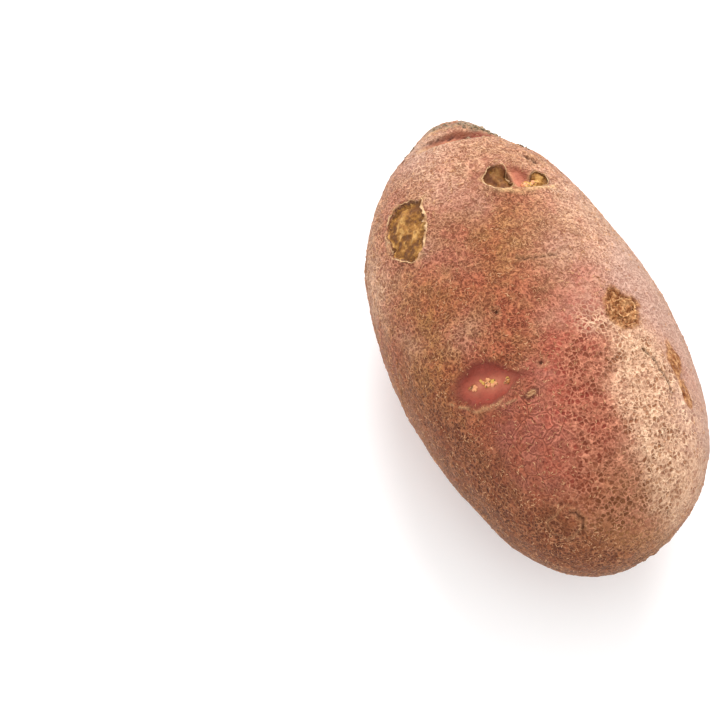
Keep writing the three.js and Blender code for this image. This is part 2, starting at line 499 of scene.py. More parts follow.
def skinMesh():
    quarter = math.pi / 4
    divisions = [int(round(1.5 * side / skinGrid["spacing"])) for side in halfSize]
    grid, faces = boxGrid(divisions)
    rays = np.tan(grid * quarter)
    rays = rays / np.linalg.norm(rays, axis=1)[:, None] * np.array(halfSize)
    points = onTuber(rays)
    shape = bmesh.new()
    for point in points:
        shape.verts.new(point)
    shape.verts.ensure_lookup_table()
    for face in faces:
        shape.faces.new([shape.verts[i] for i in face])
    wanted = nearDetail(points)
    shape.verts.index_update()
    edges = [edge for edge in shape.edges if all(wanted[vert.index] for vert in edge.verts)]
    bmesh.ops.subdivide_edges(shape, edges=edges, cuts=1, use_grid_fill=True)
    bmesh.ops.triangulate(shape, faces=[face for face in shape.faces if len(face.verts) > 4])
    shape.verts.index_update()
    points = np.array([vert.co for vert in shape.verts])
    faces = [[vert.index for vert in face.verts] for face in shape.faces]
    shape.free()
    points = onTuber(points - np.array(middle))
    skin = meshObject("potato_skin", points, faces)
    triangles = sum(len(face) - 2 for face in faces)
    print("skin grid:", len(points), "points,", triangles, "triangles")
    return skin


potatoSkin = skinMesh()
skinPoints = pointsOf(potatoSkin.data)
skinNormals = normalsOf(potatoSkin.data)
skinHeight = np.zeros(len(skinPoints))

# Marks that the material reads, one number from 0 to 1 for each point of the skin.
markNames = [*zones, "eyeFloor", "eyeGlow", "crust", "cork", "rim", "dark"]
marks = {name: np.zeros(len(skinPoints)) for name in markNames}


def nearby(place, reach):
    offset = skinPoints - place["centre"]
    chosen = np.nonzero((offset ** 2).sum(1) < reach ** 2)[0]
    offset = offset[chosen]
    return chosen, offset @ place["round"], offset @ place["crownward"], skinPoints[chosen]


def mark(name, chosen, amount):
    marks[name][chosen] = np.maximum(marks[name][chosen], np.clip(amount, 0, 1))


# How far something wanders at each point of the skin, in three directions.
def wander(size, seeds, octaves, reach):
    return np.stack([lumps(skinPoints, size, seed, octaves) for seed in seeds], 1) * reach


drift = wander(9, (21, 22, 23), 3, 2.6)
for name in zones:
    marks[name] = zoneField(name, skinPoints, drift)


# Shaping the skin.

def shapeEye(spec):
    wide, tall = spec["wide"], spec["tall"]
    chosen, sideways, lengthways, spots = nearby(spec["place"], 2.2 * wide)
    sideways = sideways + 0.5 * lumps(spots, 3.0, 31, 2)
    lengthways = lengthways + 0.35 * lumps(spots, 2.2, 32, 2)
    across = sideways / wide
    height = tall * (1 - spec["taper"] * ease(across, 0, 1))
    share = (np.abs(across) ** 1.7 + np.abs(lengthways / height) ** 1.7) ** (1 / 1.7)
    fade = ease(1.2 - np.abs(across), 0, 0.6)
    beyond = lengthways + height * (1.0 - 0.55 * across ** 2)
    lip = np.where(beyond > 0, bell(beyond, 0.5), bell(beyond, 1.7)) * fade
    inside = ease(1.0 - share, 0, 0.45)
    skinHeight[chosen] += spec["lip"] * lip - spec["floor"] * inside
    mark("eyeFloor", chosen, ease(1.3 - share, 0, 0.75) * spec["blush"])
    glow, reach = spec["glow"]
    mark("eyeGlow", chosen, glow * bell(lengthways + 0.1, reach * tall) * bell(sideways + 0.4, 0.52 * wide))
    ragged = ease(lumps(spots, 2.5, 33, 2), -0.5, 0.5)
    mark("rim", chosen, 0.3 * bell(beyond + 0.3, 0.35) * fade * ragged)
    # painted shade: a dark band just inside the heel-side brow, where it drops to the eye's floor
    broken = ease(lumps(spots, 1.8, 34, 2), -0.2, 0.5)
    mark("dark", chosen, 0.4 * bell(beyond - 0.45, 0.35) * fade * broken)


def scabShare(spec, sideways, lengthways, spots):
    wobble = 1 + 0.14 * lumps(spots, 3.2, spec["seed"], 3)
    wide = spec["wide"] * (1 + spec.get("taper", 0) * np.clip(lengthways / spec["tall"], -1, 1))
    return ovalShare(sideways + spec.get("slant", 0) * lengthways, lengthways, wide, spec["tall"]) * wobble


def shapeScab(spec):
    chosen, sideways, lengthways, spots = nearby(spec["place"], 2 * spec["tall"])
    share = scabShare(spec, sideways, lengthways, spots)
    inside = ease(1.02 - share, 0, 0.1)
    edge = bell((share - 1.08) * spec["wide"], 0.55)
    skinHeight[chosen] += 0.28 * edge - spec["sunk"] * inside
    mark("crust", chosen, inside)
    mark("rim", chosen, 0.35 * edge * ease(lumps(spots, 2.4, 41, 2), -0.2, 0.4))
    mark("dark", chosen, 0.65 * bell((share - 0.97) * spec["wide"], 0.26))


def shapeCork(spec):
    chosen, sideways, lengthways, spots = nearby(spec["place"], 2.4 * max(spec["wide"], spec["tall"]))
    wobble = 0.35 * lumps(spots, 2.6, 51, 3)
    share = ovalShare(sideways, lengthways, spec["wide"], spec["tall"]) + wobble * 0.6
    inside = ease(1.1 - share, 0, 0.5)
    reach = share * min(spec["wide"], spec["tall"])
    flakes = np.abs(np.sin(math.pi * (reach / spec["rings"] + 0.8 * lumps(spots, 1.6, 52, 2))))
    grain = lumps(spots, 0.8, 53, 2)
    skinHeight[chosen] += inside * spec["relief"] * (0.9 * flakes + 0.5 * grain - 0.9)
    mark("cork", chosen, inside * spec["strength"])
    mark("dark", chosen, inside * spec["strength"] * 0.35 * ease(0.35 - flakes, 0, 0.3))


def shapePit(spec):
    chosen, sideways, lengthways, spots = nearby(spec["place"], 5 * spec["radius"])
    distance = np.hypot(sideways, lengthways) * (1 + 0.3 * lumps(spots, 0.9, 61, 2))
    rise = 0.12 * bell(distance - 1.5 * spec["radius"], 0.5)
    skinHeight[chosen] += rise - spec["depth"] * bell(distance, spec["radius"])
    mark("dark", chosen, bell(distance, 0.85 * spec["radius"]))
    mark("rim", chosen, 0.22 * bell(distance - 1.7 * spec["radius"], 0.3))


def shapeCrack(spec):
    distance, share = distanceToPath(skinPoints + wander(1.6, (71, 72, 73), 2, 0.22), spec["path"])
    chosen = np.nonzero(distance < 3)[0]
    distance = distance[chosen]
    fade = ease(share[chosen], 0, 0.12) * ease(1 - share[chosen], 0, 0.12)
    groove = bell(distance, spec["width"]) * fade
    lift = bell(distance - 2.2 * spec["width"], 1.6 * spec["width"]) * fade
    skinHeight[chosen] += 0.08 * lift - spec["depth"] * groove
    mark("dark", chosen, groove * 0.8)
    mark("rim", chosen, 0.12 * lift)


def shapeRidge(spec):
    distance, share = distanceToPath(skinPoints + wander(2.0, (75, 76, 77), 2, 0.25), spec["path"])
    chosen = np.nonzero(distance < 3)[0]
    spots = skinPoints[chosen]
    fade = ease(share[chosen], 0, 0.15) * ease(1 - share[chosen], 0, 0.15)
    whole = ease(lumps(spots, 1.8, 78, 3), spec["gaps"], 0.4)
    crest = bell(distance[chosen], spec["width"]) * fade * whole
    skinHeight[chosen] += spec["height"] * crest
    mark("rim", chosen, spec["pale"] * crest)


def shapeHeelPlate(spec):
    chosen, sideways, lengthways, spots = nearby(spec["place"], 9)
    wobble = 1 + 0.22 * lumps(spots, 3.0, 81, 2)
    share = ovalShare(sideways, lengthways, spec["wide"], spec["tall"]) * wobble
    skinHeight[chosen] += spec["height"] * ease(1.12 - share, 0, 0.25)
    mark("rim", chosen, 0.15 * bell((share - 0.92) * spec["wide"], 0.3))
    broken = ease(lumps(spots, 1.5, 82, 2), -0.5, 0.4)
    mark("dark", chosen, 0.35 * bell((share - 1.1) * spec["wide"], 0.22) * broken)


def shapeDrySeam(spec):
    chosen, sideways, lengthways, spots = nearby(spec["place"], 6)
    wobble = 1 + 0.15 * lumps(spots, 1.5, 85, 2)
    share = ovalShare(sideways, lengthways, spec["wide"], spec["tall"]) * wobble
    inside = ease(1.05 - share, 0, 0.3)
    skinHeight[chosen] += spec["height"] * inside - 0.25 * bell(lengthways, 0.22) * inside
    mark("cork", chosen, 0.5 * inside)
    mark("rim", chosen, 0.7 * bell(np.abs(lengthways) - 0.28, 0.16) * inside)
    mark("dark", chosen, 0.55 * bell((share - 1.15) * spec["tall"], 0.2))


def shapeRunnerScar(spec):
    chosen, sideways, lengthways, spots = nearby(spec["place"], 9)
    distance = np.hypot(sideways, lengthways) * (1 + 0.2 * lumps(spots, 2.0, 91, 2))
    ragged = bell(distance - spec["radius"], 0.8) * (0.4 + 0.5 * lumps(spots, 0.9, 92, 2))
    skinHeight[chosen] += ragged - spec["depth"] * bell(distance, 0.8 * spec["radius"])
    mark("cork", chosen, 0.9 * ease(1.4 * spec["radius"] - distance, 0, 1.2))
    mark("dark", chosen, 0.8 * bell(distance, 0.6 * spec["radius"]))


shapers = [(shapeEye, eyes), (shapeCork, corks), (shapeScab, scabs), (shapePit, pits), (shapeCrack, cracks),
           (shapeRidge, ridges)]
for shapeOne, specs in shapers:
    for spec in specs.values():
        shapeOne(spec)
shapeHeelPlate(heelPlate)
shapeDrySeam(drySeam)
shapeRunnerScar(runnerScar)

# Broad unevenness of the skin, and none of it where the tuber touches the surface.
skinHeight += 0.22 * lumps(skinPoints, 7, 101, 3) + 0.07 * lumps(skinPoints, 2.2, 102, 2)
offSurface = ease(skinPoints[:, 2], 0.3, 2.5)
skinHeight *= offSurface
skinPoints += skinNormals * skinHeight[:, None]
skinPoints[:, 2] = np.maximum(skinPoints[:, 2], 0)
potatoSkin.data.vertices.foreach_set("co", (skinPoints / 1000).astype(np.float32).ravel())
potatoSkin.data.update()
marks["offSurface"] = offSurface
for name, values in marks.items():
    layer = potatoSkin.data.attributes.new(name, "FLOAT", "POINT")
    layer.data.foreach_set("value", values.astype(np.float32))
print("skin shaped")


# The potato skin material. The colours are its pigments, besides a painted sheen, and the gold and deep brown
# also paint shade on the lower-left side and heel. The sizes are the pattern's, in millimetres.
skinLook = {
    "poreSpacing": 0.95,
    "dotSpacing": 0.8,
    "strandSize": 1.7,
    "threadSize": 0.95,
    "crackleSize": 2.8,
    "mauveCell": 3.7,
    "redBrown": tint(142, 69, 45),
    "tanBrown": tint(136, 78, 46),
    # deep brown pigment, which also paints shade on the lower-left side and heel
    "deepBrownAndShade": tint(108, 58, 30),
    # gold-brown pigment, which also paints shade at the heel and on the lower-left side
    "gold": tint(138, 90, 44),
    "flushRed": tint(150, 60, 46),
    "flushPink": tint(164, 88, 68),
    "mauve": tint(138, 70, 56),
    "paleTan": tint(203, 156, 126),
    "netTan": tint(220, 174, 141),
    "netRed": tint(186, 116, 88),
    "palePink": tint(170, 128, 112),
    "greyCork": tint(112, 92, 70),
    "eyeBrick": tint(120, 48, 34),
    "eyePink": tint(152, 64, 48),
    "crustDark": tint(108, 64, 22),
    "crustBrown": tint(112, 62, 38),
    "crustOchre": tint(152, 102, 42),
    "crustPale": tint(194, 146, 82),
    "corkDark": tint(122, 64, 26),
    "corkMid": tint(158, 98, 52),
    "corkPale": tint(208, 152, 102),
    "rimPale": tint(226, 182, 130),
    "eyeGlow": tint(206, 128, 98),
    "darkBrown": tint(56, 27, 12),
    # painted sheen colour, laid where the skin turns away from the camera
    "paintedSheen": tint(152, 124, 100),
    "lightTimes": (2.1, 2.65, 2.8, 1.0),  # what a light fleck does to the colour under it
    "darkTimes": (0.46, 0.30, 0.19, 1.0),  # and a dark one
}
# How strong each kind of light and dark fleck is, from 0 to 1.
paleShare = {"net": 0.7, "threads": 0.8, "poreStrands": 0.35, "mauveLip": 0.75, "grain": 0.65}
deepShare = {"patch": 0.8, "creases": 0.85, "crackle": 0.75, "mauveEdge": 0.5, "grain": 0.7}
# The clouds that the colours are broken up with: how many there are to a metre.
cloudScale = {"cloud": 200.0, "patch": 430.0, "gaps": 560.0, "mottle": 900.0, "grain": 2100.0}


def markOf(tree, name):
    return put(tree, "ShaderNodeAttribute", attribute_name=name).outputs["Fac"]


def wobbled(tree, where, scale, reach):
    drift = noiseOf(tree, where, scale, 2.0).outputs["Color"]
    centred = vectorCalc(tree, "SUBTRACT", drift, (0.5, 0.5, 0.5))
    return vectorCalc(tree, "ADD", where, vectorCalc(tree, "MULTIPLY", centred, (reach, reach, reach)))


# The skin's patterns, the same in the mesh and in the material. Each is 1 in its pore, dot, line or strand.
def roundPits(tree, where, spacing, wall, slope, scatter):
    away = cellsOf(tree, where, 1000 / spacing, "DISTANCE_TO_EDGE", scatter).outputs["Distance"]
    cells = cellsOf(tree, where, 1000 / spacing, "F1", scatter)
    chance = put(tree, "ShaderNodeSeparateXYZ", {0: cells.outputs["Color"]}).outputs[0]
    inside = between(tree, away, wall, wall + slope)
    kept = between(tree, chance, 0.0, 0.5, 0.5, 1.0)
    return times(tree, inside, kept, between(tree, cells.outputs["Distance"], 0.85, 0.55))


def cellLines(tree, where, size, near, far):
    away = cellsOf(tree, where, 1000 / size, "DISTANCE_TO_EDGE").outputs["Distance"]
    return between(tree, away, far / size, near / size)


def curls(tree, where, size, level, width):
    field = noiseOf(tree, where, 1000 / size, 1.0, 0.5, 0.6).outputs["Fac"]
    away = calc(tree, "ABSOLUTE", calc(tree, "SUBTRACT", field, level))
    return between(tree, away, width, 0.3 * width)


def skinPattern(tree, where):
    bent = wobbled(tree, where, 700.0, 0.0008)
    far = wobbled(tree, where, 330.0, 0.0026)
    look = skinLook
    gaps = noiseOf(tree, where, cloudScale["gaps"], 2.0).outputs["Fac"]
    cell = look["mauveCell"]
    mauveAway = cellsOf(tree, far, 1000 / cell, "DISTANCE_TO_EDGE").outputs["Distance"]
    mauveBeside = calc(tree, "ABSOLUTE", calc(tree, "SUBTRACT", mauveAway, 0.26 / cell))
    net = cellLines(tree, bent, look["dotSpacing"], 0.03, 0.15)
    threads = curls(tree, where, look["threadSize"], 0.50, 0.06)
    strands = curls(tree, where, look["strandSize"], 0.47, 0.075)
    creases = curls(tree, where, look["strandSize"], 0.57, 0.05)
    crackle = cellLines(tree, far, look["crackleSize"], 0.05, 0.13)
    return {
        "pores": roundPits(tree, bent, look["poreSpacing"], 0.03, 0.17, 0.85),
        "dots": roundPits(tree, bent, look["dotSpacing"], 0.06, 0.18, 1.0),
        "net": times(tree, net, between(tree, gaps, 0.34, 0.50)),
        "threads": times(tree, threads, between(tree, gaps, 0.38, 0.52)),
        "strands": times(tree, strands, between(tree, gaps, 0.62, 0.48)),
        "creases": times(tree, creases, between(tree, gaps, 0.42, 0.56)),
        "crackle": times(tree, crackle, between(tree, gaps, 0.44, 0.54)),
        "mauveEdge": between(tree, mauveAway, 0.14 / cell, 0.04 / cell),
        "mauveLip": between(tree, mauveBeside, 0.20 / cell, 0.06 / cell),
    }


def skinMaterial():
    material, tree, where = newCoat("netted pink potato skin")
    look = skinLook
    at = {name: markOf(tree, name) for name in markNames}
    pattern = skinPattern(tree, where)

    # the pigments in clouds and zones
    cloud = noiseOf(tree, where, cloudScale["cloud"], 4.0, 0.6).outputs["Fac"]
    patch = noiseOf(tree, where, cloudScale["patch"], 3.0, 0.6).outputs["Fac"]
    gaps = noiseOf(tree, where, cloudScale["gaps"], 2.0).outputs["Fac"]
    blotch = between(tree, patch, 0.32, 0.66, 0.45, 1.0)
    flushTone = over(tree, between(tree, cloud, 0.42, 0.62), look["flushRed"], look["flushPink"])
    colour = over(tree, between(tree, cloud, 0.38, 0.64), look["redBrown"], look["tanBrown"])
    layers = [
        # gold tone, partly painted shade at the heel and lower-left side
        (times(tree, at["goldToneAndShade"], blotch), look["gold"]),
        (times(tree, at["paleTan"], between(tree, patch, 0.28, 0.58, 0.6, 1.0)), look["paleTan"]),
        (times(tree, at["palePink"], 0.85), look["palePink"]),
        (times(tree, at["pinkFlush"], blotch), flushTone),
        (times(tree, at["mauveNet"], between(tree, cloud, 0.42, 0.56, 0.35, 0.9)), look["mauve"]),
        (times(tree, at["deepBrownAndShade"], blotch), look["deepBrownAndShade"]),
        (times(tree, at["greyCork"], between(tree, patch, 0.42, 0.54)), look["greyCork"]),
    ]
    for amount, pigment in layers:
        colour = over(tree, amount, colour, pigment)

    # light and dark flecks, which thin out where the skin is pale and smooth
    rough = rest(tree, most(tree, times(tree, at["eyeFloor"], 0.8), times(tree, at["palePink"], 0.4)))
    netTone = over(tree, between(tree, at["paleTan"], 0.3, 0.9), look["netRed"], look["netTan"])
    netAmount = between(tree, patch, 0.35, 0.6, 0.3, 0.75)
    colour = over(tree, times(tree, rest(tree, pattern["pores"]), at["poreZone"], netAmount), colour, netTone)
    unbroken = rest(tree, most(tree, times(tree, at["mauveNet"], 0.45), times(tree, at["greyCork"], 0.85)))
    elsewhere = times(tree, rest(tree, times(tree, at["poreZone"], 0.8)), rough, unbroken)
    softer = times(tree, rest(tree, times(tree, at["crackle"], 0.35)),
                   rest(tree, times(tree, at["paleTan"], 0.5)))
    grain = noiseOf(tree, where, cloudScale["grain"], 2.0, 0.6).outputs["Fac"]
    pale = most(
        tree,
        times(tree, pattern["strands"], elsewhere, softer),
        times(tree, pattern["net"], elsewhere, softer, paleShare["net"]),
        times(tree, pattern["threads"], elsewhere, softer, paleShare["threads"]),
        times(tree, pattern["strands"], at["poreZone"], paleShare["poreStrands"]),
        times(tree, pattern["mauveLip"], at["mauveNet"], paleShare["mauveLip"]),
        times(tree, between(tree, grain, 0.55, 0.66), rough, softer, paleShare["grain"]))
    porePale = rest(tree, times(tree, at["paleTan"], between(tree, gaps, 0.48, 0.60), 0.75))
    poreAmount = between(tree, cloud, 0.4, 0.6, 0.6, 0.95)
    dotAmount = between(tree, at["deepBrownAndShade"], 0.1, 0.7, 0.7, 1.0)
    deep = most(
        tree,
        times(tree, pattern["pores"], at["poreZone"], poreAmount, porePale, unbroken),
        times(tree, pattern["dots"], elsewhere, softer, dotAmount),
        # deep brown patches, partly painted shade on the lower-left side and heel
        times(tree, between(tree, patch, 0.52, 0.40), at["deepBrownAndShade"], deepShare["patch"]),
        times(tree, pattern["creases"], elsewhere, deepShare["creases"]),
        times(tree, pattern["crackle"], at["crackle"], rough, deepShare["crackle"]),
        times(tree, pattern["mauveEdge"], at["mauveNet"], deepShare["mauveEdge"]),
        times(tree, between(tree, grain, 0.45, 0.33), rough, deepShare["grain"]))
    colour = over(tree, pale, colour, look["lightTimes"], "MULTIPLY")
    colour = over(tree, times(tree, pale, at["deepBrownAndShade"], 0.3), colour, look["netRed"])
    colour = over(tree, deep, colour, look["darkTimes"], "MULTIPLY")

    # eyes, corky patches, rims and dark spots
    glow = times(tree, at["eyeGlow"], between(tree, patch, 0.3, 0.6, 0.5, 1.0))
    eyeTone = over(tree, between(tree, at["eyeFloor"], 0.55, 1.0), look["eyeBrick"], look["eyePink"])
    eyeTone = over(tree, between(tree, patch, 0.40, 0.62, 0.0, 0.5), eyeTone, look["eyeBrick"])
    eyeTone = over(tree, glow, eyeTone, look["eyeGlow"])
    mottle = noiseOf(tree, where, cloudScale["mottle"], 4.0, 0.65).outputs["Fac"]
    corkTone = over(tree, between(tree, mottle, 0.36, 0.52), look["corkDark"], look["corkMid"])
    corkTone = over(tree, between(tree, mottle, 0.48, 0.62), corkTone, look["corkPale"])
    crustTone = over(tree, between(tree, mottle, 0.36, 0.52), look["crustDark"], look["crustOchre"])
    ragged = calc(tree, "ADD", at["cork"], calc(tree, "SUBTRACT", patch, 0.5))
    colour = over(tree, between(tree, at["eyeFloor"], 0.0, 0.75, 0.0, 0.97), colour, eyeTone)
    colour = over(tree, times(tree, between(tree, ragged, 0.2, 0.75), at["cork"]), colour, corkTone)
    colour = over(tree, at["crust"], colour, crustTone)
    colour = over(tree, at["rim"], colour, look["rimPale"])
    # the skin's dark lines and spots, and painted shade inside the eyes' heel-side brows
    colour = over(tree, at["dark"], colour, look["darkBrown"])

    # painted sheen: a greyish tan laid over the skin where it turns away from the camera
    turning = put(tree, "ShaderNodeLayerWeight", {"Blend": 0.5}).outputs["Facing"]
    colour = over(tree, between(tree, turning, 0.4, 1.0, 0.0, 0.38), colour, look["paintedSheen"])

    # relief too fine for the mesh
    relief = calc(tree, "SUBTRACT", times(tree, pale, 0.7), times(tree, deep, 0.9))
    relief = calc(tree, "ADD", relief, times(tree, grain, rough, 0.5))
    relief = calc(tree, "ADD", relief, times(tree, mottle, most(tree, at["cork"], at["crust"]), 1.3))
    roughness = calc(tree, "SUBTRACT", unevenly(tree, 0.55, mottle, 0.25), times(tree, at["eyeFloor"], 0.2))
    finishCoat(tree, colour, roughness, relief, (0.9, 0.0003), 0.25)
    return material


skinCoat = skinMaterial()


# Fine relief of the skin, from the same pattern.

skinRelief = {
    "Pore Depth": 0.00024,
    "Dot Depth": 0.00008,
    "Strand Height": 0.00008,
    "Crack Depth": 0.00010,
    "Grain": 0.00012,
}


def newGroup(name, numbers):
    tree = bpy.data.node_groups.new(name, "GeometryNodeTree")
    for way in ("INPUT", "OUTPUT"):
        tree.interface.new_socket("Geometry", in_out=way, socket_type="NodeSocketGeometry")
    for label, value in numbers.items():
        kind = "NodeSocketInt" if isinstance(value, int) else "NodeSocketFloat"
        socket = tree.interface.new_socket(label, in_out="INPUT", socket_type=kind)
        socket.default_value = value
    return tree


def useGroup(piece, tree, numbers):
    modifier = piece.modifiers.new(tree.name, "NODES")
    modifier.node_group = tree
    for item in tree.interface.items_tree:
        if item.in_out == "INPUT" and item.name in numbers:
            modifier[item.identifier] = numbers[item.name]
    return modifier


def numberMark(tree, name):
    given = put(tree, "GeometryNodeInputNamedAttribute", {"Name": name}, data_type="FLOAT")
    return given.outputs["Attribute"]


def reliefTree():
    tree = newGroup("skin relief", skinRelief)
    given = put(tree, "NodeGroupInput").outputs
    where = put(tree, "GeometryNodeInputPosition").outputs[0]
    outward = put(tree, "GeometryNodeInputNormal").outputs[0]
    pattern = skinPattern(tree, where)
    poreZone = numberMark(tree, "poreZone")
    calm = most(tree, numberMark(tree, "eyeFloor"), numberMark(tree, "crust"),
                times(tree, numberMark(tree, "palePink"), 0.6))
    rough = times(tree, rest(tree, calm), numberMark(tree, "offSurface"))
    grain = calc(tree, "SUBTRACT", noiseOf(tree, where, 800.0, 3.0, 0.6).outputs[0], 0.5)
    lines = most(tree, times(tree, pattern["crackle"], numberMark(tree, "crackle")),
                 times(tree, pattern["mauveEdge"], numberMark(tree, "mauveNet")))
    height = times(tree, grain, given["Grain"])
    for how, amount in (
            ("SUBTRACT", times(tree, pattern["pores"], poreZone, given["Pore Depth"])),
            ("SUBTRACT", times(tree, pattern["dots"], rest(tree, poreZone), given["Dot Depth"])),
            ("ADD", times(tree, pattern["strands"], rest(tree, poreZone), given["Strand Height"])),
            ("SUBTRACT", times(tree, lines, given["Crack Depth"]))):
        height = calc(tree, how, height, amount)
    height = times(tree, height, rough)
    offset = put(tree, "ShaderNodeVectorMath", {0: outward, "Scale": height}, operation="SCALE").outputs[0]
    moved = put(tree, "GeometryNodeSetPosition", {"Geometry": given["Geometry"], "Offset": offset})
    whole = put(tree, "GeometryNodeRealizeInstances", {0: moved.outputs[0]})
    coated = put(tree, "GeometryNodeSetMaterial", {"Geometry": whole.outputs[0], "Material": skinCoat})
    put(tree, "NodeGroupOutput", {0: coated.outputs[0]})
    return tree


useGroup(potatoSkin, reliefTree(), skinRelief)
settle(potatoSkin)
print("skin relief settled:", len(potatoSkin.data.vertices), "points")

skinFaces = [tuple(face.vertices) for face in potatoSkin.data.polygons]
skinSurface = BVHTree.FromPolygons(pointsOf(potatoSkin.data).tolist(), skinFaces)


# A spot on the finished skin, from a place's own sideways and lengthways millimetres.
def onSkin(place, sideways, lengthways):
    above = place["centre"] + farOut * place["outward"]
    above = above + place["round"] * sideways + place["crownward"] * lengthways
    hit, normal = skinSurface.ray_cast(Vector(above), -Vector(place["outward"]))[:2]
    return np.array(hit), np.array(normal)


# Scab crusts.

crustLook = {
    "rings": 30,
    "spokes": 84,
    "thickness": 0.5,
    "buried": 0.45,
    "bump": (0.8, 0.00025),
    "gloss": 0.3,
}


def crustMaterial():
    material, tree, where = newCoat("ochre scab crust")
    look = skinLook
    mottle = noiseOf(tree, wobbled(tree, where, 400.0, 0.002), 430.0, 5.0, 0.62).outputs["Fac"]
    grains = cellsOf(tree, where, 1500.0, "F1").outputs["Distance"]
    darker = calc(tree, "MULTIPLY", markOf(tree, "darker"), 0.5)
    colour = over(tree, between(tree, mottle, 0.42, 0.53), look["crustDark"], look["crustOchre"])
    colour = over(tree, between(tree, mottle, 0.52, 0.63), colour, look["crustPale"])
    colour = over(tree, darker, colour, look["crustBrown"])
    colour = over(tree, between(tree, grains, 0.55, 0.85, 0.0, 0.35), colour, look["darkBrown"])
    height = calc(tree, "SUBTRACT", mottle, calc(tree, "MULTIPLY", grains, 0.4))
    finishCoat(tree, colour, unevenly(tree, 0.5, mottle, 0.35), height, crustLook["bump"], crustLook["gloss"])
    return material


# The outline of a scab in its own frame: the distance from its centre at each angle.
def scabReach(spec, angles):
    steps = np.arange(0.3, 2.2, 0.01) * min(spec["wide"], spec["tall"])
    place = spec["place"]
    sideways = np.outer(np.cos(angles), steps).ravel()
    lengthways = np.outer(np.sin(angles), steps).ravel()
    spots = place["centre"] + np.outer(sideways, place["round"]) + np.outer(lengthways, place["crownward"])
    share = scabShare(spec, sideways, lengthways, spots).reshape(len(angles), -1)
    return steps[np.argmax(share >= 1, axis=1)]


def crustBody(spec):
    rings, spokes = crustLook["rings"], crustLook["spokes"]
    place = spec["place"]
    angles = 2 * math.pi * np.arange(spokes) / spokes
    outline = scabReach(spec, angles)
    top = [onSkin(place, 0, 0)[0]]
    for ring in range(1, rings + 1):
        for angle, edge in zip(angles, outline):
            reach = edge * (ring / rings) * 1.01
            top.append(onSkin(place, reach * math.cos(angle), reach * math.sin(angle))[0])
    ground = np.array(top)
    share = np.concatenate([[0], np.repeat(np.arange(1, rings + 1) / rings, spokes)])
    lumpy = 0.85 * lumps(ground, 1.7, spec["seed"], 3) + 0.35 * lumps(ground, 0.7, spec["seed"] + 5, 2)
    rise = crustLook["thickness"] * (1 - share ** 6) * (0.75 + lumpy) - 0.12 * share ** 6
    upper = ground + place["outward"] * rise[:, None]
    lower = ground - place["outward"] * crustLook["buried"]
    points = np.concatenate([upper, lower])
    count = len(ground)
    faces = []
    for k in range(spokes):
        n = (k + 1) % spokes
        faces.append((0, 1 + k, 1 + n))
        faces.append((count, count + 1 + n, count + 1 + k))
        for ring in range(rings - 1):
            a, b = 1 + ring * spokes + k, 1 + ring * spokes + n
            c, d = a + spokes, b + spokes
            faces.append((a, c, d, b))
            faces.append((count + a, count + b, count + d, count + c))
        last = 1 + (rings - 1) * spokes
        faces.append((last + k, count + last + k, count + last + n, last + n))
    return points, faces


def joined(bodies):
    points, faces, start = [], [], 0
    for bodyPoints, bodyFaces in bodies:
        points.append(np.asarray(bodyPoints))
        faces += [[start + i for i in face] for face in bodyFaces]
        start += len(bodyPoints)
    return np.concatenate(points), faces


crustBodies = {name: crustBody(spec) for name, spec in scabs.items()}
scabCrusts = meshObject("scab_crusts", *joined(crustBodies.values()), crustMaterial())
darker = [np.full(len(body[0]), name == "upperEyeScab", np.float32) for name, body in crustBodies.items()]
darkerMark = scabCrusts.data.attributes.new("darker", "FLOAT", "POINT")
darkerMark.data.foreach_set("value", np.concatenate(darker))
print("scab crusts made")


# Torn skin round the scabs.

tornLook = {"thickness": 0.08, "steps": 150, "foot": 0.25}
tornCoat = {
    "dull": (170, 126, 84), "bright": (216, 178, 134), "scale": 800.0, "detail": 3.0, "grit": 0.5,
    "mix": (0.35, 0.65), "bump": (0.5, 0.0001), "rough": (0.5, 0.3), "gloss": 0.35,
}


# A thin blade of skin that stands up along the scab's edge from one angle to another, ragged along its top.
def tornBlade(spec, fromDegrees, toDegrees, height, lean):
    steps = max(12, int(tornLook["steps"] * (toDegrees - fromDegrees) / 360))
    place = spec["place"]
    part = np.arange(steps + 1) / steps
    angles = np.radians(fromDegrees + (toDegrees - fromDegrees) * part)
    reaches = scabReach(spec, angles) * 1.03
    spots, normals = zip(*[onSkin(place, r * math.cos(a), r * math.sin(a)) for r, a in zip(reaches, angles)])
    ragged = 0.65 + 0.5 * lumps(np.array(spots), 1.1, spec["seed"] + 20, 3)
    rises = height * np.maximum(ragged, 0.12) * np.sin(math.pi * part) ** 0.5
    thick = tornLook["thickness"]
    points, faces = [], []
    for spot, normal, angle, rise in zip(spots, normals, angles, rises):
        direction = place["round"] * math.cos(angle) + place["crownward"] * math.sin(angle)
        foot = spot - normal * tornLook["foot"]
        tip = spot + normal * rise + direction * lean * rise
        mid = spot + normal * rise * 0.55 + direction * lean * rise * 0.2
        points += [foot - direction * thick, mid - direction * thick, tip - direction * thick * 0.4,
                   tip + direction * thick * 0.4, mid + direction * thick, foot + direction * thick * 1.5]
    ringSize = 6
    for i in range(steps):
        for k in range(ringSize):
            n = (k + 1) % ringSize
            a, b = i * ringSize + k, i * ringSize + n
            faces.append((a, a + ringSize, b + ringSize, b))
    faces.append(tuple(range(ringSize)))
    faces.append(tuple(steps * ringSize + k for k in reversed(range(ringSize))))
    return points, faces


